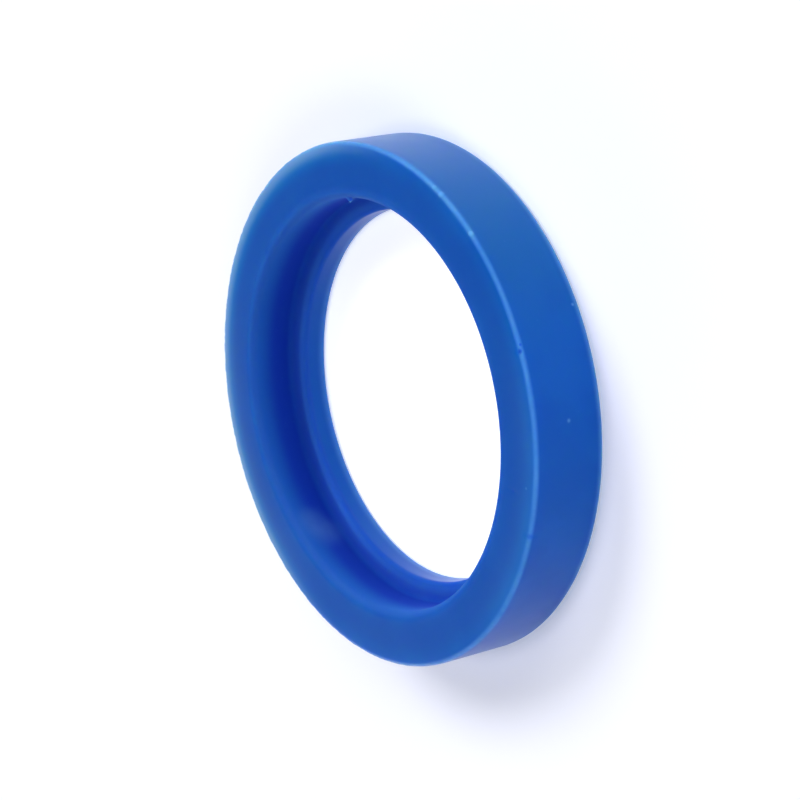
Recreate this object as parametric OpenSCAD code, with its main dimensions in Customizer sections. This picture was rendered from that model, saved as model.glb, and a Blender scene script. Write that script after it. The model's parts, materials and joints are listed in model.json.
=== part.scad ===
// Sanitary union gasket: a moulded ring with an L-shaped section.
// The ring lies on the face of its lip, with the recess open upwards.
// Lengths are in millimetres, Z is the axis of the ring and Z = 0 is the lip-side sealing face.

/* [Body] */
// Outside diameter, which sits in the counterbore of the union
outer_d = 32; // [30:0.2:60]
// Height between the two sealing faces
ring_h = 5; // [4:0.1:10]

/* [Recess] */
// Diameter of the recess that slips over the end of the liner
recess_d = 25.2; // [24.8:0.1:28]
// Radius of the soft edge at the mouth of the recess
mouth_r = 0.4; // [0.1:0.05:1]
// Radius of the fillet between the recess wall and the lip
root_r = 0.5; // [0.1:0.05:0.8]

/* [Lip] */
// Diameter of the flow bore through the lip, which is flush with the tube
bore_d = 23; // [10:0.1:23.6]
// Thickness of the lip
lip_t = 1.6; // [0.8:0.1:3.5]
// Radius of both edges of the lip at the flow bore
lip_edge_r = 0.25; // [0.05:0.05:0.5]

/* [Outer edges] */
// Radius of the outer edge on the recess side
front_edge_r = 0.3; // [0.1:0.05:1]
// Radius of the outer edge on the lip side
back_edge_r = 0.3; // [0.1:0.05:1]

/* [Smoothness] */
// Steps round the ring
ring_steps = 180; // [60:12:360]
// Steps round the small radii of the section
edge_steps = 32; // [16:4:64]

/* [Hidden] */
outer_r = outer_d / 2;
recess_r = recess_d / 2;
bore_r = bore_d / 2;
// How far a cutting shape runs past the face it cuts, or a joined one into the body
overrun = 0.2;

// What rounding takes off a corner at the origin, where the body lies towards -X and -Y
module corner_cut(radius) {
    translate([-radius, -radius])
        difference() {
            square(radius + overrun);
            circle(radius, $fn = edge_steps);
        }
}

// What a fillet adds to a corner at the origin, where the open side is towards -X and +Y
module corner_fill(radius) {
    difference() {
        translate([-radius, -overrun])
            square([radius + overrun, radius + overrun]);
        translate([-radius, radius])
            circle(radius, $fn = edge_steps);
    }
}

// Wall of the ring between the outside and the recess, over its full height
module wall_section() {
    translate([recess_r, 0])
        square([outer_r - recess_r, ring_h]);
}

// Lip that reaches inwards from the foot of the wall to the flow bore
module lip_section() {
    translate([bore_r, 0])
        square([outer_r - bore_r, lip_t]);
}

// Half section of the ring, with its soft moulded edges
module ring_section() {
    difference() {
        union() {
            wall_section();
            lip_section();
            translate([recess_r, lip_t])
                corner_fill(root_r);
        }
        translate([outer_r, ring_h])
            corner_cut(front_edge_r);
        translate([outer_r, 0])
            mirror([0, 1])
                corner_cut(back_edge_r);
        translate([recess_r, ring_h])
            mirror([1, 0])
                corner_cut(mouth_r);
        translate([bore_r, lip_t])
            mirror([1, 0])
                corner_cut(lip_edge_r);
        translate([bore_r, 0])
            rotate(180)
                corner_cut(lip_edge_r);
    }
}

// The whole gasket, one moulded piece
module gasket() {
    color("royalblue")
        rotate_extrude($fn = ring_steps)
            ring_section();
}

gasket();
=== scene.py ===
"""Looks of the sanitary union gasket: one moulded ring with an L-shaped section.

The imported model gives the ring's place and main sizes. The script sweeps the same section, with its soft
moulded edges, round the axis, adds the fine traces that moulding and handling leave, and sets the ring on a
pale board under soft light. Lengths with _mm in their name are millimetres; Blender gets metres.
"""

import json
import logging
import math
from dataclasses import dataclass, field
from enum import Enum, IntEnum
from typing import Any, Union

import bpy
from mathutils import Matrix, Vector


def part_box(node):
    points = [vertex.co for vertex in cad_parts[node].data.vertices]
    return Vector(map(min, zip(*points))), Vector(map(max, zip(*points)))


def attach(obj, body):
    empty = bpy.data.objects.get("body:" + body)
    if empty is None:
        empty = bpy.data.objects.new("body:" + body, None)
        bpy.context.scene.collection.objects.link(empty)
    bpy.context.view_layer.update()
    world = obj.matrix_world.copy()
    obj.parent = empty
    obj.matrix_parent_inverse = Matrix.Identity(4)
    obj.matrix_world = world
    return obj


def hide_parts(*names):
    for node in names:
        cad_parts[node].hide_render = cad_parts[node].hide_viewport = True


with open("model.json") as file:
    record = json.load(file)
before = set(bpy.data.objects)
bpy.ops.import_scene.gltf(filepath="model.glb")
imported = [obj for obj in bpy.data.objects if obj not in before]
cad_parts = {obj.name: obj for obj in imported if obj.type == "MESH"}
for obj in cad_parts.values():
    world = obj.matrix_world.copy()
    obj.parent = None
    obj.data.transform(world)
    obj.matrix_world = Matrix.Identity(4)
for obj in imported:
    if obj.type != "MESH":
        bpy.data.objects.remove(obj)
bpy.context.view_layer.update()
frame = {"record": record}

MM = 0.001
WHITE = (1.0, 1.0, 1.0, 1.0)
COS_45 = math.sqrt(0.5)
log = logging.getLogger("gasket")

Feed = Union["Signal", bpy.types.NodeSocket, float, int, bool, tuple]


class Signal:
    """A number on its way through a node tree, so that formulas can be written as plain arithmetic."""

    def __init__(self, sheet: "NodeSheet", socket: bpy.types.NodeSocket) -> None:
        """Keeps the tree and the socket that the number comes from."""
        self.sheet = sheet
        self.socket = socket

    def __add__(self, other: Feed) -> "Signal":
        """Sum."""
        return self.sheet.math("ADD", self, other)

    def __radd__(self, other: Feed) -> "Signal":
        """Sum, with this number second."""
        return self.sheet.math("ADD", other, self)

    def __sub__(self, other: Feed) -> "Signal":
        """Difference."""
        return self.sheet.math("SUBTRACT", self, other)

    def __rsub__(self, other: Feed) -> "Signal":
        """Difference, with this number second."""
        return self.sheet.math("SUBTRACT", other, self)

    def __mul__(self, other: Feed) -> "Signal":
        """Product."""
        return self.sheet.math("MULTIPLY", self, other)

    def __rmul__(self, other: Feed) -> "Signal":
        """Product, with this number second."""
        return self.sheet.math("MULTIPLY", other, self)

    def __truediv__(self, other: Feed) -> "Signal":
        """Quotient."""
        return self.sheet.math("DIVIDE", self, other)

    def __neg__(self) -> "Signal":
        """The number with its sign changed."""
        return self.sheet.math("MULTIPLY", self, -1.0)


class MixSocket(IntEnum):
    """Numbers of a Mix node's sockets when it mixes colours."""

    SHARE = 0
    FIRST = 6
    SECOND = 7
    RESULT = 2


class NodeSheet:
    """A node tree that is written in code, for a material, a world or geometry."""

    def __init__(self, tree: bpy.types.NodeTree) -> None:
        """Keeps the tree that the nodes go into."""
        self.tree = tree

    def node(
        self, kind: str, settings: dict[str, Any] | None = None, inputs: dict[str | int, Feed] | None = None
    ) -> bpy.types.Node:
        """Adds one node of any kind.

        Args:
            kind: Blender's type name of the node.
            settings: Values of the node's own settings, set first. "items" gives an index switch its number
                of items.
            inputs: Values or links for the node's sockets, by name or number.

        Returns:
            The new node.
        """
        made = self.tree.nodes.new(kind)
        for name, value in (settings or {}).items():
            if name == "items":
                while len(made.index_switch_items) < value:
                    made.index_switch_items.new()
            else:
                setattr(made, name, value)
        for name, value in (inputs or {}).items():
            self.feed(made.inputs[name], value)
        return made

    def feed(self, socket: bpy.types.NodeSocket, value: Feed) -> None:
        """Links a signal or a socket to a socket, or sets the socket to a plain value.

        Args:
            socket: The socket to feed.
            value: What it gets.
        """
        source = value.socket if isinstance(value, Signal) else value
        if isinstance(source, bpy.types.NodeSocket):
            self.tree.links.new(source, socket)
        else:
            socket.default_value = source

    def signal(self, node: bpy.types.Node, output: str | int = 0) -> Signal:
        """Wraps one output of a node."""
        return Signal(self, node.outputs[output])

    def math(self, operation: str, first: Feed, second: Feed = 0.0) -> Signal:
        """Adds a Math node for one operation on numbers."""
        return self.signal(self.node("ShaderNodeMath", {"operation": operation}, {0: first, 1: second}))

    def ramp(self, value: Feed, start: float, end: float, curve: str = "LINEAR") -> Signal:
        """Runs from 0 where a value is at its start to 1 where it is at its end, and stays there beyond.

        Args:
            value: The value.
            start: Where the ramp is 0. It may lie above the end.
            end: Where the ramp is 1.
            curve: Blender's name for the shape between them.

        Returns:
            The ramp's height.
        """
        made = self.node(
            "ShaderNodeMapRange",
            {"interpolation_type": curve},
            {"Value": value, "From Min": start, "From Max": end},
        )
        return self.signal(made)

    def band(self, value: Feed, low: float, high: float) -> Signal:
        """Rises softly from 0 at one value to 1 at another."""
        return self.ramp(value, low, high, "SMOOTHSTEP")

    def bell(self, distance: Feed, reach: float) -> Signal:
        """Fades from 1 where a distance is nothing to 0 at a given reach, with a soft shoulder."""
        return 1.0 - self.ramp(distance, 0.0, reach, "SMOOTHERSTEP")

    def cone(self, distance: Feed, reach: float) -> Signal:
        """Falls straight from 1 where a distance is nothing to 0 at a given reach."""
        return 1.0 - self.ramp(distance, 0.0, reach)

    def distance(self, first: Feed, second: Feed) -> Signal:
        """Adds the node for the distance between two points."""
        ends = {0: first, 1: second}
        return self.signal(self.node("ShaderNodeVectorMath", {"operation": "DISTANCE"}, ends), "Value")

    def mix(self, share: Feed, first: Feed, second: Feed) -> bpy.types.NodeSocket:
        """Mixes two colours by the share of the second."""
        inputs = {MixSocket.SHARE: share, MixSocket.FIRST: first, MixSocket.SECOND: second}
        return self.node("ShaderNodeMix", {"data_type": "RGBA"}, inputs).outputs[MixSocket.RESULT]

    def place(self, x: Feed, y: Feed, z: Feed) -> bpy.types.NodeSocket:
        """Joins three numbers into a vector."""
        return self.node("ShaderNodeCombineXYZ", None, {0: x, 1: y, 2: z}).outputs[0]


@dataclass(frozen=True)
class Grain:
    """One natural unevenness, whose features have a given size.

    Attributes:
        size_mm: Size of a feature.
        octaves: Octaves of finer noise in it.
        gain: Strength of the finer octaves.
        depth_mm: Height of its relief, where it has one.
    """

    size_mm: float
    octaves: float = 1.0
    gain: float = 0.5
    depth_mm: float = 0.0

    def noise(self, sheet: NodeSheet, where: Feed) -> Signal:
        """Adds the nodes for the pattern.

        Args:
            sheet: The tree.
            where: Coordinates to read it at, in metres.

        Returns:
            A number from 0 to 1, mostly near a half.
        """
        inputs = {
            "Vector": where,
            "Scale": 1.0 / (self.size_mm * MM),
            "Detail": self.octaves,
            "Roughness": self.gain,
        }
        return sheet.signal(sheet.node("ShaderNodeTexNoise", {"noise_dimensions": "3D"}, inputs))

    def relief(self, sheet: NodeSheet, where: Feed) -> Signal:
        """Adds the nodes for the pattern as a height in metres."""
        return self.depth_mm * MM * self.noise(sheet, where)


class Bearing:
    """Where a point lies on the ring, as numbers of a node tree."""

    def __init__(self, sheet: NodeSheet, here: Feed) -> None:
        """Splits the point's coordinates and works out its distance from the axis.

        Args:
            sheet: The tree.
            here: The point's coordinates.
        """
        self.sheet = sheet
        self.here = here
        parts = sheet.node("ShaderNodeSeparateXYZ", None, {0: here})
        self.x, self.y, self.z = (sheet.signal(parts, axis) for axis in range(3))
        self.across = sheet.math("SQRT", self.x * self.x + self.y * self.y)

    def towards(self, azimuth_deg: float) -> Signal:
        """Tells how nearly the point lies in a given direction from the axis.

        Args:
            azimuth_deg: The direction, anticlockwise from +X.

        Returns:
            The cosine of the angle between the two directions.
        """
        turn = math.radians(azimuth_deg)
        return (self.x * math.cos(turn) + self.y * math.sin(turn)) / self.across

    def from_circle(self, radius: float, height: float) -> Signal:
        """Adds the nodes for the distance from a circle that runs round the ring, such as one of its edges.

        Args:
            radius: The circle's radius, in metres.
            height: Its height, in metres.

        Returns:
            The distance in metres.
        """
        out = self.across - radius
        up = self.z - height
        return self.sheet.math("SQRT", out * out + up * up)

    def from_point(self, point: Vector) -> Signal:
        """Adds the node for the distance from a point."""
        return self.sheet.distance(self.here, tuple(point))


@dataclass(frozen=True)
class Span:
    """The stretch of values over which a mask rises softly from 0 to 1.

    Attributes:
        low: Where the mask is 0.
        high: Where the mask is 1. It may lie below the other.
    """

    low: float
    high: float

    def mask(self, value: Signal) -> Signal:
        """Adds the nodes for the mask of a plain number."""
        return value.sheet.band(value, self.low, self.high)

    def mask_mm(self, length: Signal, origin: float = 0.0) -> Signal:
        """Adds the nodes for the mask of a length, with the stretch in millimetres.

        Args:
            length: The length, in metres.
            origin: Where the stretch is counted from, in metres.

        Returns:
            The mask.
        """
        return length.sheet.band(length, origin + self.low * MM, origin + self.high * MM)


@dataclass(frozen=True)
class Side:
    """A side of the ring over which a tone lies, such as a painted glow, a painted sheen, a greener tone or
    a wider painted highlight.

    Attributes:
        azimuth_deg: Direction of its middle, anticlockwise from +X.
        span: Cosines of the angles from the middle at which it starts and is full.
        share: Its strength where it is full.
    """

    azimuth_deg: float
    span: Span
    share: float = 1.0

    def mask(self, spot: Bearing) -> Signal:
        """Adds the nodes for its strength at a point."""
        return self.share * self.span.mask(spot.towards(self.azimuth_deg))


class Blemish(Enum):
    """How a small mark changes the surface."""

    NICK = "pushed in"
    BURR = "raised, with a rounded top"
    SPUR = "raised, with a point"


@dataclass(frozen=True)
class Mark:
    """One small mark of moulding or handling, placed on the ring's section.

    Attributes:
        kind: Whether it stands out or is pushed in.
        angle_deg: Place round the ring, anticlockwise from +X.
        radius_mm: Distance from the axis.
        height_mm: Height above the lip-side face.
        reach_mm: Half width of the mark.
        depth_mm: How far it goes in or stands out.
        stain: Share of the mark's painted tone: a painted glint where it is raised, painted shade in a
            nick.
    """

    kind: Blemish
    angle_deg: float
    radius_mm: float
    height_mm: float
    reach_mm: float
    depth_mm: float
    stain: float = 0.5

    def centre(self) -> Vector:
        """Place of the mark's middle on the plain surface, in metres."""
        return self._place(self.radius_mm)

    def tip(self) -> Vector:
        """Place of its painted tone, in metres: a spur's point, which leans to the axis, or else its
        middle.
        """
        return self._place(self.radius_mm - self.depth_mm) if self.kind is Blemish.SPUR else self.centre()

    def travel(self, sheet: NodeSheet, away: Signal) -> Signal:
        """Adds the nodes for how far the mark moves the surface, in metres.

        Args:
            sheet: The geometry tree.
            away: Distance from the mark's middle.

        Returns:
            The travel along the surface's normal.
        """
        reach = self.reach_mm * MM
        depth = self.depth_mm * MM
        if self.kind is Blemish.SPUR:
            return depth * sheet.cone(away, reach)
        if self.kind is Blemish.BURR:
            return depth * sheet.bell(away, reach)
        return -depth * sheet.bell(away, reach)

    def _place(self, radius_mm: float) -> Vector:
        """Point at the mark's angle and height and at a given distance from the axis, in metres."""
        turn = math.radians(self.angle_deg)
        return Vector((radius_mm * math.cos(turn), radius_mm * math.sin(turn), self.height_mm)) * MM


@dataclass(frozen=True)
class Tone:
    """A colour that is laid over one zone of the surface.

    Attributes:
        colour: The colour, linear.
        share: Most of it that shows.
        reach_mm: Distance from the middle of its zone at which it has faded out.
        patchy: How much it comes and goes with the fine haze, from 0 to 1.
    """

    colour: tuple
    share: float = 1.0
    reach_mm: float = 1.0
    patchy: float = 0.0


class Paint:
    """The surface's colour while one tone after another is laid over it."""

    def __init__(self, sheet: NodeSheet, first: Feed, haze: Signal) -> None:
        """Starts with a plain colour.

        Args:
            sheet: The material's tree.
            first: The first colour.
            haze: The fine haze that patchy tones follow.
        """
        self.sheet = sheet
        self.colour = first
        self.haze = haze

    def lay(self, tone: Tone, zone: Feed) -> None:
        """Lays a tone over a zone.

        Args:
            tone: The tone.
            zone: The zone's mask, from 0 to 1.
        """
        share = zone * tone.share
        if tone.patchy:
            share = share * (1.0 - tone.patchy + 2.0 * tone.patchy * self.haze)
        self.colour = self.sheet.mix(share, self.colour, tone.colour)

    def line(self, tone: Tone, distance: Signal, zone: Feed = 1.0) -> None:
        """Lays a tone along a line or round a point.

        Args:
            tone: The tone, which fades out at its own reach.
            distance: Distance from the line or point.
            zone: Mask of the part of it that shows.
        """
        self.lay(tone, self.sheet.bell(distance, tone.reach_mm * MM) * zone)


# Pale tone of the painted highlights, edge light and glints, and of the fine specks.
PALE_HIGHLIGHT_AND_SPECK = (0.1150, 0.3500, 0.6100, 1.0)
# Painted shade for a rounded edge that catches a bright line.
EDGE_SHADE = (0.0080, 0.0700, 0.3300, 1.0)


@dataclass(frozen=True)
class ElastomerFinish:
    """Satin blue moulded elastomer, slightly translucent, with light and shade painted into its colour on
    its edges, rim, recess and lip.

    Attributes:
        name: Name of the material.
        body: Main colour.
        cloud: Faintly darker clouds in it.
        mid_face: Darker middle of the front face.
        wall: Recess wall near its mouth.
        faded: Outside wall on one side, a little greener and less blue.
        deep: Painted shade on the low part of the recess wall, darker the deeper it lies.
        step: Upper face of the lip.
        root: Painted shade in the rounded root between the wall and the lip.
        thin: Bore wall of the lip, painted lighter than the lip's face for the light that comes through the
            bore.
        over_lip: Painted light on the lip's upper face towards the bore, away from the wall's shade.
        lip_edge: Painted shade on the rounded edge between the lip's upper face and the bore, which dims
            the bright line it catches.
        mouth_edge: Rounded mouth of the recess, painted greyer and less blue, as shade and sheen on the
            rounding.
        rubbed: Paler, patchy spot on the dull recess wall.
        bore_edge: Painted light along the rear edge of the bore, which lightens the dark contact line
            there.
        rim_all_round: Share of the rim's painted glow round the whole face.
        rim_where_worn: Share of it that the backlit side adds.
        rim_where_handled: Share of it that the second glowing side adds.
        rim: Painted glow of light that comes through the front face near its outer edge, strongest on the
            backlit side.
        pale: Palest part of that painted glow on the backlit side.
        worn_face: Faint painted sheen over the face, on the sheen side and on the second glowing side.
        front_edge: Painted highlight along the front outer edge.
        streak: Wider painted highlight on a short run of that edge.
        back_edge: Painted highlight along the rear outer edge, which also lightens the contact shadow
            there.
        speck: Fine pale specks.
        nick: Painted shade in a nick.
        raised: Painted glint on a burr or a spur.
        clouds: Pattern of the clouds.
        haze: Pattern that patchy tones follow.
        specks: Pattern of the specks.
        skin: Relief of the moulded skin.
        turning: Relief of the tool's turning lines, copied from the mould.
        waves: Soft relief of the moulded faces.
        rubbed_spots_mm: Places of the paler spot, which runs from one to the other.
        worn_side: Side on which the rim is painted with the glow of light from behind.
        worn_most: Part of it on which a painted sheen lies over the whole face.
        handled_side: Second, fainter side with the painted glow and sheen.
        faded_side: Side on which the outside wall is greener.
        streak_side: Side of the streak.
        cloud_span: Stretch of the clouds' pattern from clear to cloudy.
        speck_span: Stretch of the specks' pattern from clear to speck.
        outside_span_mm: Distance outwards from the outside wall, over which its own tone starts.
        mouth_span_mm: Distance outwards from the recess wall, over which the recess's tones end.
        sunk_span_mm: Depth below the front face, over which the painted shade of the recess starts.
        above_lip_span_mm: Height above the lip, over which the wall's tones start.
        step_span_mm: Depth below the lip's upper face, over which the step's tone starts.
        lip_span_mm: Distance inwards from the recess wall, over which the lip's tones start.
        thin_span_mm: Depth below the lip's upper face, over which the bore wall's tone starts.
        face_span_mm: Height above the front face, over which the face's tones start.
        dull_span_mm: Distance outwards from the recess wall, over which the dull skin ends.
        dull_above_lip_span_mm: Height above the lip's upper face, over which that skin starts.
        roughness: Middle roughness of the satin surface.
        dull_roughness: Roughness inside the recess.
        roughness_spread: How far the haze moves the roughness.
        haze_middle: Mean of the haze.
        index: Refractive index.
        mirror_tint: Tint of what the surface mirrors when it is seen squarely.
        scatter_depth_mm: How far blue light travels under the surface.
        scatter_tint: That distance for red, green and blue, as shares.
    """

    name: str = "blue_elastomer"
    body: tuple = (0.0045, 0.0920, 0.4250, 1.0)
    cloud: Tone = Tone((0.0038, 0.0800, 0.4000, 1.0))
    mid_face: Tone = Tone((0.0055, 0.0790, 0.4000, 1.0), share=0.60, reach_mm=1.5)
    wall: Tone = Tone((0.0090, 0.0900, 0.4150, 1.0))
    faded: Tone = Tone((0.0055, 0.1080, 0.3700, 1.0))
    deep: Tone = Tone((0.0030, 0.0310, 0.3620, 1.0))
    step: Tone = Tone((0.0180, 0.0800, 0.3750, 1.0))
    root: Tone = Tone((0.0070, 0.0480, 0.4900, 1.0), share=0.80, reach_mm=0.9)
    thin: Tone = Tone((0.0070, 0.0970, 0.4250, 1.0))
    over_lip: Tone = Tone((0.0140, 0.1120, 0.5300, 1.0), share=0.50)
    lip_edge: Tone = Tone(EDGE_SHADE, share=0.50, reach_mm=0.5)
    mouth_edge: Tone = Tone((0.0220, 0.0940, 0.3200, 1.0), share=0.60, reach_mm=0.7)
    rubbed: Tone = Tone((0.0440, 0.1450, 0.4700, 1.0), share=0.46, reach_mm=1.7, patchy=0.60)
    bore_edge: Tone = Tone(PALE_HIGHLIGHT_AND_SPECK, share=0.45, reach_mm=0.8)
    rim_all_round: float = 0.12
    rim_where_worn: float = 0.55
    rim_where_handled: float = 0.5
    rim: Tone = Tone((0.0060, 0.2300, 0.6000, 1.0), share=1.0, reach_mm=1.8)
    pale: Tone = Tone((0.2600, 0.4200, 0.5000, 1.0), share=0.60, reach_mm=1.1)
    worn_face: Tone = Tone((0.2600, 0.4200, 0.5000, 1.0), share=0.12, reach_mm=3.2)
    front_edge: Tone = Tone(PALE_HIGHLIGHT_AND_SPECK, share=0.53, reach_mm=0.38, patchy=0.55)
    streak: Tone = Tone(PALE_HIGHLIGHT_AND_SPECK, share=0.16, reach_mm=0.55, patchy=0.60)
    back_edge: Tone = Tone(PALE_HIGHLIGHT_AND_SPECK, share=0.70, reach_mm=0.6, patchy=0.40)
    speck: Tone = Tone(PALE_HIGHLIGHT_AND_SPECK, share=0.08)
    nick: tuple = (0.0030, 0.0430, 0.5100, 1.0)
    raised: tuple = PALE_HIGHLIGHT_AND_SPECK
    clouds: Grain = Grain(4.5, octaves=3.0, gain=0.55)
    haze: Grain = Grain(1.7, octaves=4.0, gain=0.6)
    specks: Grain = Grain(0.16, octaves=2.0, gain=0.6)
    skin: Grain = Grain(0.45, octaves=1.0, gain=0.5, depth_mm=0.0009)
    turning: Grain = Grain(0.35, octaves=1.0, gain=0.4, depth_mm=0.0007)
    waves: Grain = Grain(2.6, octaves=1.0, gain=0.4, depth_mm=0.012)
    rubbed_spots_mm: tuple = ((-6.45, 10.83, 3.65), (-7.3, 10.3, 3.15))
    worn_side: Side = Side(58.0, span=Span(0.0, 0.7))
    worn_most: Side = Side(95.0, span=Span(0.70, 1.0))
    handled_side: Side = Side(-120.0, span=Span(0.75, 1.0), share=0.30)
    faded_side: Side = Side(-30.0, span=Span(0.5, 0.95))
    streak_side: Side = Side(-42.0, span=Span(0.92, 1.0))
    cloud_span: Span = Span(0.62, 0.38)
    speck_span: Span = Span(0.68, 0.78)
    outside_span_mm: Span = Span(-0.3, 0.0)
    mouth_span_mm: Span = Span(0.05, 0.35)
    sunk_span_mm: Span = Span(0.4, 2.0)
    above_lip_span_mm: Span = Span(0.10, 0.80)
    step_span_mm: Span = Span(-0.5, 0.0)
    lip_span_mm: Span = Span(0.10, 0.80)
    thin_span_mm: Span = Span(0.10, 0.45)
    face_span_mm: Span = Span(-0.35, -0.05)
    dull_span_mm: Span = Span(0.30, 0.80)
    dull_above_lip_span_mm: Span = Span(-0.4, 0.0)
    roughness: float = 0.32
    dull_roughness: float = 0.85
    roughness_spread: float = 0.05
    haze_middle: float = 0.5
    index: float = 1.36
    mirror_tint: tuple = (0.11, 0.3, 0.9, 1.0)
    scatter_depth_mm: float = 1.5
    scatter_tint: tuple = (0.10, 0.25, 1.0)

    def material(self, ring: "MouldedRing") -> bpy.types.Material:
        """Builds the material.

        Args:
            ring: The ring whose section tells the recess, the lip and the edges apart.

        Returns:
            The material.
        """
        made = bpy.data.materials.new(self.name)
        made.use_nodes = True
        sheet = NodeSheet(made.node_tree)
        spot = Bearing(sheet, sheet.node("ShaderNodeTexCoord").outputs["Object"])
        haze = self.haze.noise(sheet, spot.here)
        paint = Paint(sheet, self.body, haze)
        self._paint_body(paint, spot, ring)
        self._paint_recess(paint, spot, ring)
        self._paint_edges(paint, spot, ring)
        self._paint_marks(paint, spot, ring)
        shader = made.node_tree.nodes["Principled BSDF"]
        relief = sheet.node(
            "ShaderNodeBump", None, {"Strength": 1.0, "Distance": 1.0, "Height": self._relief(sheet, spot)}
        )
        sheet.feed(shader.inputs["Base Color"], paint.colour)
        sheet.feed(shader.inputs["Roughness"], self._roughness(spot, ring, haze))
        sheet.feed(shader.inputs["Normal"], relief.outputs[0])
        shader.inputs["Subsurface Weight"].default_value = 1.0
        shader.inputs["Subsurface Radius"].default_value = self.scatter_tint
        shader.inputs["Subsurface Scale"].default_value = self.scatter_depth_mm * MM
        shader.inputs["IOR"].default_value = self.index
        shader.inputs["Specular Tint"].default_value = self.mirror_tint
        return made

    def _paint_body(self, paint: Paint, spot: Bearing, ring: "MouldedRing") -> None:
        """Lays the clouds, the darker middle of the front face and the greener side of the outside wall.

        Args:
            paint: The colour so far.
            spot: Place of the point on the ring.
            ring: The ring.
        """
        paint.lay(self.cloud, self.cloud_span.mask(self.clouds.noise(paint.sheet, spot.here)))
        middle = (ring.recess_r + ring.outer_r) / 2
        paint.line(self.mid_face, paint.sheet.math("ABSOLUTE", spot.across - middle))
        outside = self.outside_span_mm.mask_mm(spot.across - ring.outer_r)
        # A greener tone on one side of the outside wall.
        paint.lay(self.faded, outside * self.faded_side.mask(spot))

    def _paint_recess(self, paint: Paint, spot: Bearing, ring: "MouldedRing") -> None:
        """Lays the tones of the recess wall, its root and the lip, with painted shade low on the wall and
        in the root, painted light on the lip, and a paler spot.

        Args:
            paint: The colour so far.
            spot: Place of the point on the ring.
            ring: The ring.
        """
        inside = 1.0 - self.mouth_span_mm.mask_mm(spot.across, ring.recess_r)
        sunk = self.sunk_span_mm.mask_mm(ring.height - spot.z)
        above_lip = self.above_lip_span_mm.mask_mm(spot.z - ring.lip_t)
        paint.lay(self.wall, inside * above_lip)
        # Painted shade: the recess wall darkens with depth below the front face.
        paint.lay(self.deep, inside * sunk * above_lip)
        paint.lay(self.step, inside * self.step_span_mm.mask_mm(ring.lip_t - spot.z))
        # Painted shade in the crease at the root of the recess wall.
        paint.line(self.root, spot.from_circle(ring.recess_r, ring.lip_t))
        lip = self.lip_span_mm.mask_mm(ring.recess_r - spot.across)
        # Painted light: the lip's face is lighter away from the recess wall.
        paint.lay(self.over_lip, lip)
        # Painted light on the bore wall, for light that comes through the bore.
        paint.lay(self.thin, lip * self.thin_span_mm.mask_mm(ring.lip_t - spot.z))
        # A paler spot on the recess wall.
        for place in self.rubbed_spots_mm:
            paint.line(self.rubbed, spot.from_point(Vector(place) * MM))

    def _paint_edges(self, paint: Paint, spot: Bearing, ring: "MouldedRing") -> None:
        """Lays the painted highlights, light and shade of the rounded edges, and the painted glow and sheen
        of the rim.

        Args:
            paint: The colour so far.
            spot: Place of the point on the ring.
            ring: The ring.
        """
        # Painted shade on the lip's edge, which dims its bright line.
        paint.line(self.lip_edge, spot.from_circle(ring.bore_r, ring.lip_t))
        # Painted shade and sheen on the rounded mouth of the recess.
        paint.line(self.mouth_edge, spot.from_circle(ring.recess_r, ring.height))
        # Painted light on the bore's rear edge, over the dark contact line on the board.
        paint.line(self.bore_edge, spot.from_circle(ring.bore_r, 0.0))
        front = spot.from_circle(ring.outer_r, ring.height)
        on_face = self.face_span_mm.mask_mm(spot.z - ring.height)
        # Painted glow near the front outer edge, strongest on the backlit side, and painted sheen over the
        # face.
        backlit = self.worn_side.mask(spot)
        second_glow = self.handled_side.mask(spot)
        rim = self.rim_all_round + self.rim_where_worn * backlit + self.rim_where_handled * second_glow
        paint.line(self.rim, front, on_face * rim)
        paint.line(self.worn_face, front, on_face * (self.worn_most.mask(spot) + second_glow))
        paint.line(self.pale, front, on_face * backlit)
        # Painted highlight along the front outer edge.
        paint.line(self.front_edge, front)
        # Wider painted highlight on one run of the front edge.
        paint.line(self.streak, front, self.streak_side.mask(spot))
        # Painted highlight along the rear outer edge, over its contact shadow.
        paint.line(self.back_edge, spot.from_circle(ring.outer_r, 0.0))

    def _paint_marks(self, paint: Paint, spot: Bearing, ring: "MouldedRing") -> None:
        """Lays the fine specks, and the painted glints and shade of the small marks.

        Args:
            paint: The colour so far.
            spot: Place of the point on the ring.
            ring: The ring, with its marks.
        """
        paint.lay(self.speck, self.speck_span.mask(self.specks.noise(paint.sheet, spot.here)))
        for mark in ring.marks:
            # Painted shade in a nick, and a painted glint on a burr or a spur.
            colour = self.nick if mark.kind is Blemish.NICK else self.raised
            paint.line(Tone(colour, share=mark.stain, reach_mm=mark.reach_mm), spot.from_point(mark.tip()))

    def _roughness(self, spot: Bearing, ring: "MouldedRing", haze: Signal) -> Signal:
        """Adds the nodes for the roughness: satin outside, and dull in the recess.

        Args:
            spot: Place of the point on the ring.
            ring: The ring.
            haze: The fine haze.

        Returns:
            The roughness.
        """
        inside = 1.0 - self.dull_span_mm.mask_mm(spot.across, ring.recess_r)
        dull = inside * self.dull_above_lip_span_mm.mask_mm(spot.z - ring.lip_t)
        satin = self.roughness + self.roughness_spread * (haze - self.haze_middle)
        return satin + (self.dull_roughness - self.roughness) * dull

    def _relief(self, sheet: NodeSheet, spot: Bearing) -> Signal:
        """Adds the nodes for the height of the fine relief.

        Args:
            sheet: The material's tree.
            spot: Place of the point on the ring.

        Returns:
            The height in metres.
        """
        round_the_ring = sheet.place(spot.across, spot.z, 0.0)
        lines = self.turning.relief(sheet, round_the_ring)
        return self.skin.relief(sheet, spot.here) + lines + self.waves.relief(sheet, spot.here)


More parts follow.
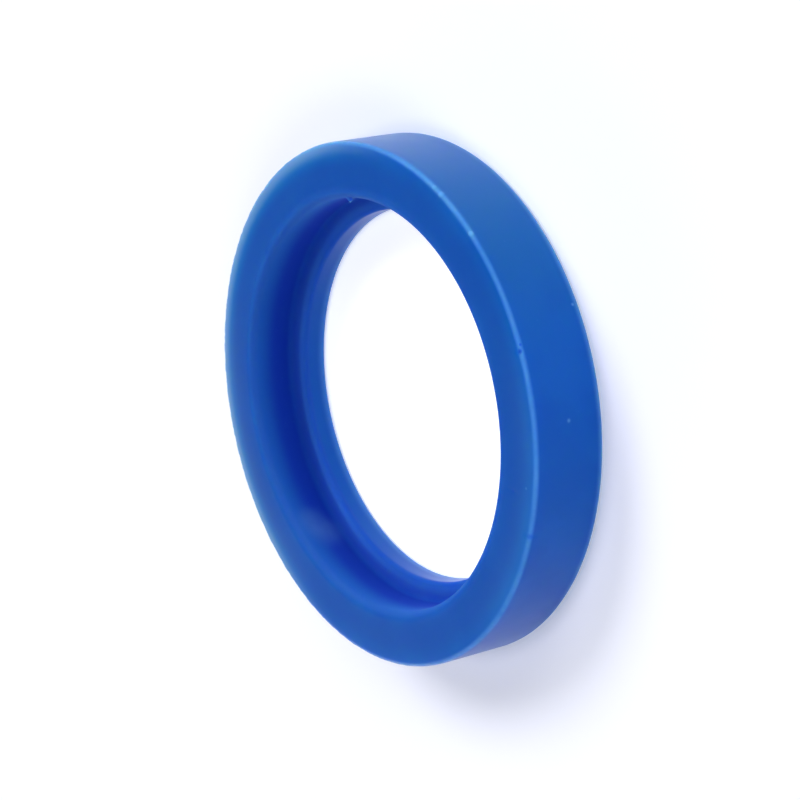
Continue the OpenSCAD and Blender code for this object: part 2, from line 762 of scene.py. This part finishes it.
@dataclass
class MouldedRing:
    """The whole gasket: an L-shaped section swept round the axis, with its soft edges and small marks.

    Attributes:
        outer_r: Outside radius, in metres, as are the other lengths here.
        height: Height between the sealing faces.
        recess_r: Radius of the recess.
        bore_r: Radius of the flow bore.
        lip_t: Thickness of the lip.
        marks: The small marks on it.
        mouth_r: Edge radius of the recess's mouth.
        root_r: Radius of the root between the wall and the lip.
        lip_edge_r: Edge radius of the lip's two bore edges.
        front_edge_r: Edge radius of the front outer edge.
        back_edge_r: Edge radius of the rear outer edge.
        steps_round: Facets round the ring.
        steps_per_edge: Points on each rounded edge.
        facet: Longest facet along the section.
        wall_facet: Longest facet on the recess wall.
        swell: Depth of the soft unevenness of the moulded faces.
        trim_line: Height of the fine line that trimming leaves on the front outer edge.
        trim_reach: Half width of that line.
        wall_slack: How near the recess wall's radius a point of the section counts as on it.
        seed: Shift of the patterns of unevenness.
        uneven: Pattern of the soft unevenness.
        ragged: Pattern in which the trimmed line comes and goes.
        ragged_span: Stretch of that pattern from no line to the whole line.
        finish: The ring's finish.
    """

    outer_r: float
    height: float
    recess_r: float
    bore_r: float
    lip_t: float
    marks: list[Mark]
    mouth_r: float = 0.4 * MM
    root_r: float = 0.5 * MM
    lip_edge_r: float = 0.25 * MM
    front_edge_r: float = 0.3 * MM
    back_edge_r: float = 0.3 * MM
    steps_round: int = 960
    steps_per_edge: int = 7
    facet: float = 0.42 * MM
    wall_facet: float = 0.21 * MM
    swell: float = 0.020 * MM
    trim_line: float = 0.030 * MM
    trim_reach: float = 0.13 * MM
    wall_slack: float = 0.001 * MM
    seed: float = 0.37
    uneven: Grain = Grain(5.0, octaves=2.0, gain=0.5)
    ragged: Grain = Grain(0.55, octaves=3.0, gain=0.65)
    ragged_span: Span = Span(0.38, 0.62)
    finish: ElastomerFinish = field(default_factory=ElastomerFinish)

    @classmethod
    def from_frame(cls, record: dict[str, Any], marks: list[Mark]) -> "MouldedRing":
        """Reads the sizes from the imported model.

        Args:
            record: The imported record, whose mounts give the recess and the bore.
            marks: The small marks to put on the ring.

        Returns:
            The ring, not built yet.
        """
        mounts = {mount["name"]: mount for mount in record["mounts"]}
        low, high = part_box("gasket")
        return cls(
            outer_r=(high.x - low.x) / 2,
            height=high.z - low.z,
            recess_r=mounts["liner_recess"]["dims"]["r_mm"] * MM,
            bore_r=mounts["flow_bore"]["dims"]["r_mm"] * MM,
            lip_t=2 * mounts["flow_bore"]["pos_m"][2],
            marks=marks,
        )

    def _corners(self, sheet: NodeSheet, inputs: bpy.types.Node) -> list[tuple[Feed, Feed, float]]:
        """Lists the section's corners, in the order that turns its faces outwards.

        Args:
            sheet: The geometry tree.
            inputs: The tree's Group Input node.

        Returns:
            Each corner's distance outwards from the recess wall, its height with the sign changed, and its
            radius.
        """
        recess = sheet.signal(inputs, "Recess radius")
        to_bore = sheet.signal(inputs, "Bore radius") - recess
        to_outside = sheet.signal(inputs, "Outer radius") - recess
        lip = -sheet.signal(inputs, "Lip thickness")
        front = -sheet.signal(inputs, "Height")
        return [
            (to_bore, 0.0, self.lip_edge_r),
            (to_bore, lip, self.lip_edge_r),
            (0.0, lip, self.root_r),
            (0.0, front, self.mouth_r),
            (to_outside, front, self.front_edge_r),
            (to_outside, 0.0, self.back_edge_r),
        ]

    def _section(self, sheet: NodeSheet, inputs: bpy.types.Node) -> bpy.types.NodeSocket:
        """Adds the nodes that draw the rounded section as a closed curve.

        Args:
            sheet: The geometry tree.
            inputs: The tree's Group Input node.

        Returns:
            The curve's socket. Its X is the distance outwards from the recess wall, and its Y points down.
        """
        corners = self._corners(sheet, inputs)
        points = sheet.node("GeometryNodeMeshLine", None, {"Count": len(corners)})
        index = sheet.node("GeometryNodeInputIndex").outputs[0]
        places, rounds = (
            sheet.node("GeometryNodeIndexSwitch", {"data_type": kind, "items": len(corners)}, {0: index})
            for kind in ("VECTOR", "FLOAT")
        )
        for number, (out, down, edge) in enumerate(corners):
            sheet.feed(places.inputs[str(number)], sheet.place(out, down, 0.0))
            sheet.feed(rounds.inputs[str(number)], edge)
        drawn = sheet.node(
            "GeometryNodeSetPosition", None, {"Geometry": points.outputs[0], "Position": places.outputs[0]}
        )
        curve = sheet.node("GeometryNodeMeshToCurve", None, {"Mesh": drawn.outputs[0]})
        closed = sheet.node(
            "GeometryNodeSetSplineCyclic", None, {"Geometry": curve.outputs[0], "Cyclic": True}
        )
        steps = inputs.outputs["Steps per edge"]
        rounded = sheet.node(
            "GeometryNodeFilletCurve",
            {"mode": "POLY"},
            {"Curve": closed.outputs[0], "Radius": rounds.outputs[0], "Count": steps},
        )
        cuts = self._cuts(sheet, inputs)
        split = sheet.node("GeometryNodeSubdivideCurve", None, {"Curve": rounded.outputs[0], "Cuts": cuts})
        return split.outputs[0]

    def _cuts(self, sheet: NodeSheet, inputs: bpy.types.Node) -> bpy.types.NodeSocket:
        """Adds the nodes that count the cuts of each straight run of the section, finer on the recess wall.

        Args:
            sheet: The geometry tree.
            inputs: The tree's Group Input node.

        Returns:
            The number of cuts after each point.
        """
        after = sheet.node("GeometryNodeOffsetPointInCurve", None, {"Offset": 1})
        here = sheet.node("GeometryNodeInputPosition").outputs[0]
        there = sheet.node(
            "GeometryNodeFieldAtIndex",
            {"data_type": "FLOAT_VECTOR", "domain": "POINT"},
            {"Value": here, "Index": after.outputs["Point Index"]},
        )
        run = sheet.distance(there.outputs[0], here)
        out = sheet.signal(sheet.node("ShaderNodeSeparateXYZ", None, {0: here}))
        on_wall = sheet.math("LESS_THAN", sheet.math("ABSOLUTE", out), self.wall_slack)
        coarse = sheet.signal(inputs, "Facet")
        facet = coarse + on_wall * (sheet.signal(inputs, "Wall facet") - coarse)
        return sheet.node("FunctionNodeFloatToInt", {"rounding_mode": "FLOOR"}, {0: run / facet}).outputs[0]

    def _travel(self, sheet: NodeSheet, inputs: bpy.types.Node) -> Signal:
        """Adds the nodes for how far the surface stands from the plain section, along its normal.

        Args:
            sheet: The geometry tree.
            inputs: The tree's Group Input node.

        Returns:
            The travel in metres: a soft unevenness, the fine line at the front edge, and the marks.
        """
        spot = Bearing(sheet, sheet.node("GeometryNodeInputPosition").outputs[0])
        seed = sheet.signal(inputs, "Seed")
        shift = sheet.place(seed, seed, seed)
        moved = sheet.node("ShaderNodeVectorMath", {"operation": "ADD"}, {0: spot.here, 1: shift})
        shifted = moved.outputs[0]
        travel = -(sheet.signal(inputs, "Swell") * self.uneven.noise(sheet, shifted))

        inset = self.front_edge_r * (1 - COS_45)
        off_line = spot.from_circle(self.outer_r - inset, self.height - inset)
        comes_and_goes = self.ragged_span.mask(self.ragged.noise(sheet, shifted))
        line = sheet.signal(inputs, "Trim line") * sheet.bell(off_line, self.trim_reach) * comes_and_goes
        travel = travel + line
        for mark in self.marks:
            travel = travel + mark.travel(sheet, spot.from_point(mark.centre()))
        return travel

    def _tree(
        self, sizes: dict[str, float], counts: dict[str, int]
    ) -> tuple[bpy.types.NodeTree, dict[str, str]]:
        """Builds the geometry tree that sweeps the section round the axis.

        Args:
            sizes: Values of its inputs that are lengths or shifts, by name.
            counts: Values of its inputs that are whole numbers, by name.

        Returns:
            The tree, and each input's identifier by its name.
        """
        tree = bpy.data.node_groups.new("moulded_ring", "GeometryNodeTree")
        names = {}
        for kind, group in (("NodeSocketFloat", sizes), ("NodeSocketInt", counts)):
            for name in group:
                names[name] = tree.interface.new_socket(name, in_out="INPUT", socket_type=kind).identifier
        tree.interface.new_socket("Geometry", in_out="OUTPUT", socket_type="NodeSocketGeometry")

        sheet = NodeSheet(tree)
        inputs = sheet.node("NodeGroupInput")
        path = sheet.node(
            "GeometryNodeCurvePrimitiveCircle",
            {"mode": "RADIUS"},
            {"Resolution": inputs.outputs["Steps round"], "Radius": inputs.outputs["Recess radius"]},
        )
        section = self._section(sheet, inputs)
        swept = sheet.node(
            "GeometryNodeCurveToMesh", None, {"Curve": path.outputs[0], "Profile Curve": section}
        )
        normal = sheet.node("GeometryNodeInputNormal").outputs[0]
        travel = self._travel(sheet, inputs)
        offset = sheet.node("ShaderNodeVectorMath", {"operation": "SCALE"}, {0: normal, "Scale": travel})
        moved = sheet.node(
            "GeometryNodeSetPosition", None, {"Geometry": swept.outputs[0], "Offset": offset.outputs[0]}
        )
        smooth = sheet.node(
            "GeometryNodeSetShadeSmooth", None, {"Geometry": moved.outputs[0], "Shade Smooth": True}
        )
        real = sheet.node("GeometryNodeRealizeInstances", None, {0: smooth.outputs[0]})
        finish = self.finish.material(self)
        coated = sheet.node(
            "GeometryNodeSetMaterial", None, {"Geometry": real.outputs[0], "Material": finish}
        )
        sheet.node("NodeGroupOutput", None, {"Geometry": coated.outputs[0]})
        return tree, names

    def build(self) -> bpy.types.Object:
        """Makes the ring's mesh with a geometry tree and turns it into plain faces.

        Returns:
            The ring's object, at the origin, with its finish on.
        """
        sizes = {
            "Outer radius": self.outer_r,
            "Height": self.height,
            "Recess radius": self.recess_r,
            "Bore radius": self.bore_r,
            "Lip thickness": self.lip_t,
            "Facet": self.facet,
            "Wall facet": self.wall_facet,
            "Swell": self.swell,
            "Trim line": self.trim_line,
            "Seed": self.seed,
        }
        counts = {"Steps round": self.steps_round, "Steps per edge": self.steps_per_edge}
        tree, names = self._tree(sizes, counts)
        blank = bpy.data.meshes.new("ring_blank")
        made = bpy.data.objects.new("gasket_ring", blank)
        bpy.context.scene.collection.objects.link(made)
        sweep = made.modifiers.new("sweep", "NODES")
        sweep.node_group = tree
        for name, value in (sizes | counts).items():
            sweep[names[name]] = value
        solid = bpy.data.meshes.new_from_object(made.evaluated_get(bpy.context.evaluated_depsgraph_get()))
        made.modifiers.clear()
        made.data = solid
        solid.name = made.name
        bpy.data.meshes.remove(blank)
        return made

    def dress(self, piece: bpy.types.Object) -> None:
        """Puts the ring in the place of its plain solid, on the part's only body.

        Args:
            piece: The ring's object.
        """
        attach(piece, "root")
        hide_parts("gasket")


@dataclass(frozen=True)
class SoftBox:
    """A large soft light, so far away that it lights the whole board evenly.

    Attributes:
        name: Name of the light.
        azimuth_deg: Direction that it stands in, anticlockwise from +X.
        elevation_deg: Height above the board, as an angle.
        spread_deg: How wide the light looks from the ring, as an angle.
        strength: Light that it sends, in watts for each square metre.
    """

    name: str
    azimuth_deg: float
    elevation_deg: float
    spread_deg: float
    strength: float

    def build(self) -> bpy.types.Object:
        """Makes the light.

        Returns:
            The light's object.
        """
        lamp = bpy.data.lights.new(self.name, "SUN")
        lamp.angle = math.radians(self.spread_deg)
        lamp.energy = self.strength
        made = bpy.data.objects.new(self.name, lamp)
        bpy.context.scene.collection.objects.link(made)
        turn = math.radians(self.azimuth_deg)
        rise = math.radians(self.elevation_deg)
        way = Vector((math.cos(turn) * math.cos(rise), math.sin(turn) * math.cos(rise), math.sin(rise)))
        made.location = way
        made.rotation_mode = "QUATERNION"
        made.rotation_quaternion = way.to_track_quat("Z", "Y")
        return made


@dataclass(frozen=True)
class TentSide:
    """A bright stretch of the white tent that stands round the board.

    Attributes:
        azimuth_deg: Direction of its middle, anticlockwise from +X.
        glow: Brightness that it adds at its middle.
        reach_deg: Angle from its middle to where it has faded out.
    """

    azimuth_deg: float
    glow: float
    reach_deg: float = 50.0

    def brightness(self, sheet: NodeSheet, way: Bearing) -> Signal:
        """Adds the nodes for its brightness in a direction.

        Args:
            sheet: The world's tree.
            way: The direction, as a point.

        Returns:
            The brightness.
        """
        faded_out = math.cos(math.radians(self.reach_deg))
        return self.glow * sheet.band(way.towards(self.azimuth_deg), faded_out, 1.0)


@dataclass
class Studio:
    """Pale board, soft boxes and a low white tent round it.

    Attributes:
        board_width: Width of the board, in metres.
        board_tone: Its colour, linear.
        board_shade: Its darkest patches, as a share of that.
        board_patches: Pattern of those patches.
        board_span: Stretch of that pattern from darkest to plain.
        board_glow: Faint light that comes through the board.
        bore_glow: Painted light: a stronger glow of the board inside the ring, which lifts the ring's
            shadow off the board there.
        edge_glow: Share of that painted light under the rounded rear edge, which lifts the dark contact
            shadow off the outline.
        edge_glow_reach: How far it reaches to both sides, in metres.
        board_roughness: Its roughness.
        board_gloss: Strength of what it mirrors.
        ceiling: Brightness of the surround above the tent.
        tent_top_deg: Height of the tent, as an angle.
        tent_glow: Brightness of the tent all round.
        boxes: The soft boxes.
        sides: The tent's brighter sides.
    """

    board_width: float = 3.0
    board_tone: tuple = (0.875, 0.895, 1.0, 1.0)
    board_shade: float = 0.99
    board_patches: Grain = Grain(300.0)
    board_span: Span = Span(0.2, 0.8)
    board_glow: float = 0.05
    bore_glow: float = 0.41
    edge_glow: float = 0.5
    edge_glow_reach: float = 0.2 * MM
    board_roughness: float = 0.9
    board_gloss: float = 0.1
    ceiling: float = 0.0
    tent_top_deg: float = 9.0
    tent_glow: float = 0.25
    boxes: tuple = (
        SoftBox("overhead_box", azimuth_deg=0.0, elevation_deg=90.0, spread_deg=26.0, strength=1.28),
        SoftBox("side_box", azimuth_deg=20.0, elevation_deg=42.0, spread_deg=30.0, strength=1.73),
        SoftBox("back_box_right", azimuth_deg=95.0, elevation_deg=15.0, spread_deg=30.0, strength=0.17),
        SoftBox("back_box_middle", azimuth_deg=112.0, elevation_deg=15.0, spread_deg=30.0, strength=0.22),
        SoftBox("back_box_left", azimuth_deg=130.0, elevation_deg=15.0, spread_deg=30.0, strength=0.34),
        SoftBox("front_box_left", azimuth_deg=230.0, elevation_deg=35.0, spread_deg=24.0, strength=0.78),
        SoftBox("front_box_right", azimuth_deg=320.0, elevation_deg=35.0, spread_deg=24.0, strength=0.61),
    )
    sides: tuple = (
        TentSide(0.0, glow=0.6),
        TentSide(135.0, glow=1.1),
        TentSide(180.0, glow=2.5),
        TentSide(225.0, glow=1.4),
        TentSide(270.0, glow=3.3),
        TentSide(315.0, glow=9.8),
    )

    def build(self, ring: MouldedRing) -> bpy.types.Object:
        """Makes the board, the lights and the tent.

        Args:
            ring: The ring that lies on the board.

        Returns:
            The board.
        """
        half = self.board_width / 2
        mesh = bpy.data.meshes.new("board")
        corners = [(-half, -half, 0), (half, -half, 0), (half, half, 0), (-half, half, 0)]
        mesh.from_pydata(corners, [], [(0, 1, 2, 3)])
        mesh.materials.append(self._board_material(ring))
        board = bpy.data.objects.new("board", mesh)
        bpy.context.scene.collection.objects.link(board)
        for box in self.boxes:
            box.build()
        bpy.context.scene.world = self._tent()
        bpy.context.scene.view_settings.view_transform = "Standard"
        return board

    def _tent(self) -> bpy.types.World:
        """Makes the surround: bright low down all round the board, and dim above.

        Returns:
            The world.
        """
        world = bpy.data.worlds.new("white_tent")
        world.use_nodes = True
        sheet = NodeSheet(world.node_tree)
        way = Bearing(sheet, sheet.node("ShaderNodeTexCoord").outputs["Generated"])
        glow = sheet.signal(sheet.node("ShaderNodeValue"))
        glow.socket.default_value = self.tent_glow
        for side in self.sides:
            glow = glow + side.brightness(sheet, way)
        low_down = sheet.ramp(way.z, math.sin(math.radians(self.tent_top_deg)), 0.0)
        backdrop = world.node_tree.nodes["Background"]
        sheet.feed(backdrop.inputs["Color"], self.ceiling + glow * low_down)
        backdrop.inputs["Strength"].default_value = 1.0
        return world

    def _board_material(self, ring: MouldedRing) -> bpy.types.Material:
        """Makes the matt pale board, with a barely uneven tone, a faint glow, and a stronger painted glow
        inside the ring and under its rear edge.

        Args:
            ring: The ring, inside which the board glows more.

        Returns:
            The material.
        """
        made = bpy.data.materials.new("pale_board")
        made.use_nodes = True
        sheet = NodeSheet(made.node_tree)
        spot = Bearing(sheet, sheet.node("ShaderNodeTexCoord").outputs["Object"])
        plain = self.board_span.mask(self.board_patches.noise(sheet, spot.here))
        darker = tuple(channel * self.board_shade for channel in self.board_tone[:3]) + (1.0,)
        # Painted light: the board glows more inside the ring and under its rear edge, which lifts the
        # ring's shadow there.
        in_bore = 1.0 - sheet.band(spot.across, ring.bore_r, ring.recess_r)
        off_edge = sheet.math("ABSOLUTE", spot.across - (ring.outer_r - ring.back_edge_r / 2))
        glowing = in_bore + self.edge_glow * sheet.bell(off_edge, self.edge_glow_reach)
        share = self.board_glow / self.bore_glow
        shader = made.node_tree.nodes["Principled BSDF"]
        sheet.feed(shader.inputs["Base Color"], sheet.mix(plain, darker, self.board_tone))
        sheet.feed(shader.inputs["Emission Color"], sheet.mix(glowing, (share, share, share, 1.0), WHITE))
        shader.inputs["Emission Strength"].default_value = self.bore_glow
        shader.inputs["Roughness"].default_value = self.board_roughness
        shader.inputs["Specular IOR Level"].default_value = self.board_gloss
        return made


@dataclass(frozen=True)
class Viewpoint:
    """The camera: the photograph's direction and distance to the ring, with a longer lens.

    Attributes:
        elevation_deg: Angle of the line of sight above the ring's faces.
        distance: Distance to the middle of the front face, in metres.
        roll_deg: Turn of the camera's upright away from the ring's axis, to the right.
        lens_mm: Focal length.
        sensor_mm: Width of the sensor.
        nearest: Nearest distance that is seen, in metres.
        farthest: Farthest distance that is seen, in metres.
    """

    elevation_deg: float = 33.9
    distance: float = 149.6 * MM
    roll_deg: float = 101.9
    lens_mm: float = 112.0
    sensor_mm: float = 36.0
    nearest: float = 0.01
    farthest: float = 10.0

    def build(self, ring: MouldedRing) -> bpy.types.Object:
        """Makes the camera and aims it at the middle of the ring.

        Args:
            ring: The ring to look at.

        Returns:
            The camera.
        """
        rise = math.radians(self.elevation_deg)
        roll = math.radians(self.roll_deg)
        to_camera = Vector((0.0, -math.cos(rise), math.sin(rise)))
        stand = Vector((0.0, 0.0, ring.height)) + to_camera * self.distance
        back = (stand - Vector((0.0, 0.0, ring.height / 2))).normalized()
        level_up = (Vector((0.0, 0.0, 1.0)) - back * back.z).normalized()
        level_right = level_up.cross(back)
        up = level_up * math.cos(roll) + level_right * math.sin(roll)
        lens = bpy.data.cameras.new("camera")
        lens.sensor_width = self.sensor_mm
        lens.lens = self.lens_mm
        lens.clip_start = self.nearest
        lens.clip_end = self.farthest
        made = bpy.data.objects.new("camera", lens)
        bpy.context.scene.collection.objects.link(made)
        turned = Matrix((up.cross(back), up, back)).transposed().to_4x4()
        turned.translation = stand
        made.matrix_world = turned
        bpy.context.scene.camera = made
        return made


def ring_marks(height_mm: float) -> list[Mark]:
    """Lists the small marks that can be seen on the ring.

    Args:
        height_mm: Height of the ring, as the front edge's marks hang on it.

    Returns:
        The marks.
    """
    edge_mm = 15.91
    edge_top_mm = height_mm - 0.09
    aside_mm = 0.05
    on_the_edge = (edge_mm, edge_top_mm)
    by_the_face = (edge_mm - aside_mm, edge_top_mm + aside_mm)
    by_the_wall = (edge_mm + aside_mm, edge_top_mm - aside_mm)
    outside_mm = 16.0
    return [
        Mark(Blemish.BURR, -58.8, *on_the_edge, reach_mm=0.24, depth_mm=0.07, stain=0.8),
        Mark(Blemish.BURR, -47.0, *on_the_edge, reach_mm=0.28, depth_mm=0.05, stain=0.6),
        Mark(Blemish.BURR, -44.5, *on_the_edge, reach_mm=0.20, depth_mm=0.05, stain=0.6),
        Mark(Blemish.NICK, -85.5, *by_the_face, reach_mm=0.20, depth_mm=0.14, stain=1.0),
        Mark(Blemish.NICK, -84.2, *by_the_wall, reach_mm=0.14, depth_mm=0.05, stain=0.7),
        Mark(Blemish.NICK, -124.3, *on_the_edge, reach_mm=0.30, depth_mm=0.06, stain=0.3),
        Mark(Blemish.SPUR, -10.5, 12.6, height_mm - 0.42, reach_mm=0.27, depth_mm=0.34, stain=0.7),
        Mark(Blemish.BURR, -101.0, outside_mm, height_mm - 2.5, reach_mm=0.20, depth_mm=0.02, stain=0.5),
        Mark(Blemish.BURR, -78.3, outside_mm, height_mm - 4.5, reach_mm=0.16, depth_mm=0.02, stain=0.5),
        Mark(Blemish.NICK, -116.5, 14.1, height_mm, reach_mm=0.22, depth_mm=0.03, stain=0.3),
        Mark(Blemish.BURR, -114.3, 15.2, height_mm - 0.02, reach_mm=0.14, depth_mm=0.01, stain=0.3),
    ]


def main() -> None:
    """Builds the ring, the studio and the camera, and reports each."""
    logging.basicConfig(level=logging.INFO, format="%(name)s: %(message)s")
    low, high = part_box("gasket")
    ring = MouldedRing.from_frame(frame["record"], ring_marks((high.z - low.z) / MM))
    piece = ring.build()
    ring.dress(piece)
    log.info("%s: %d faces, outside %.2f mm", piece.name, len(piece.data.polygons), 2 * ring.outer_r / MM)
    board = Studio().build(ring)
    log.info("%s: %.1f m wide", board.name, board.dimensions.x)
    camera = Viewpoint().build(ring)
    log.info("%s: lens %.0f mm", camera.name, camera.data.lens)


if __name__ == "__main__":
    main()
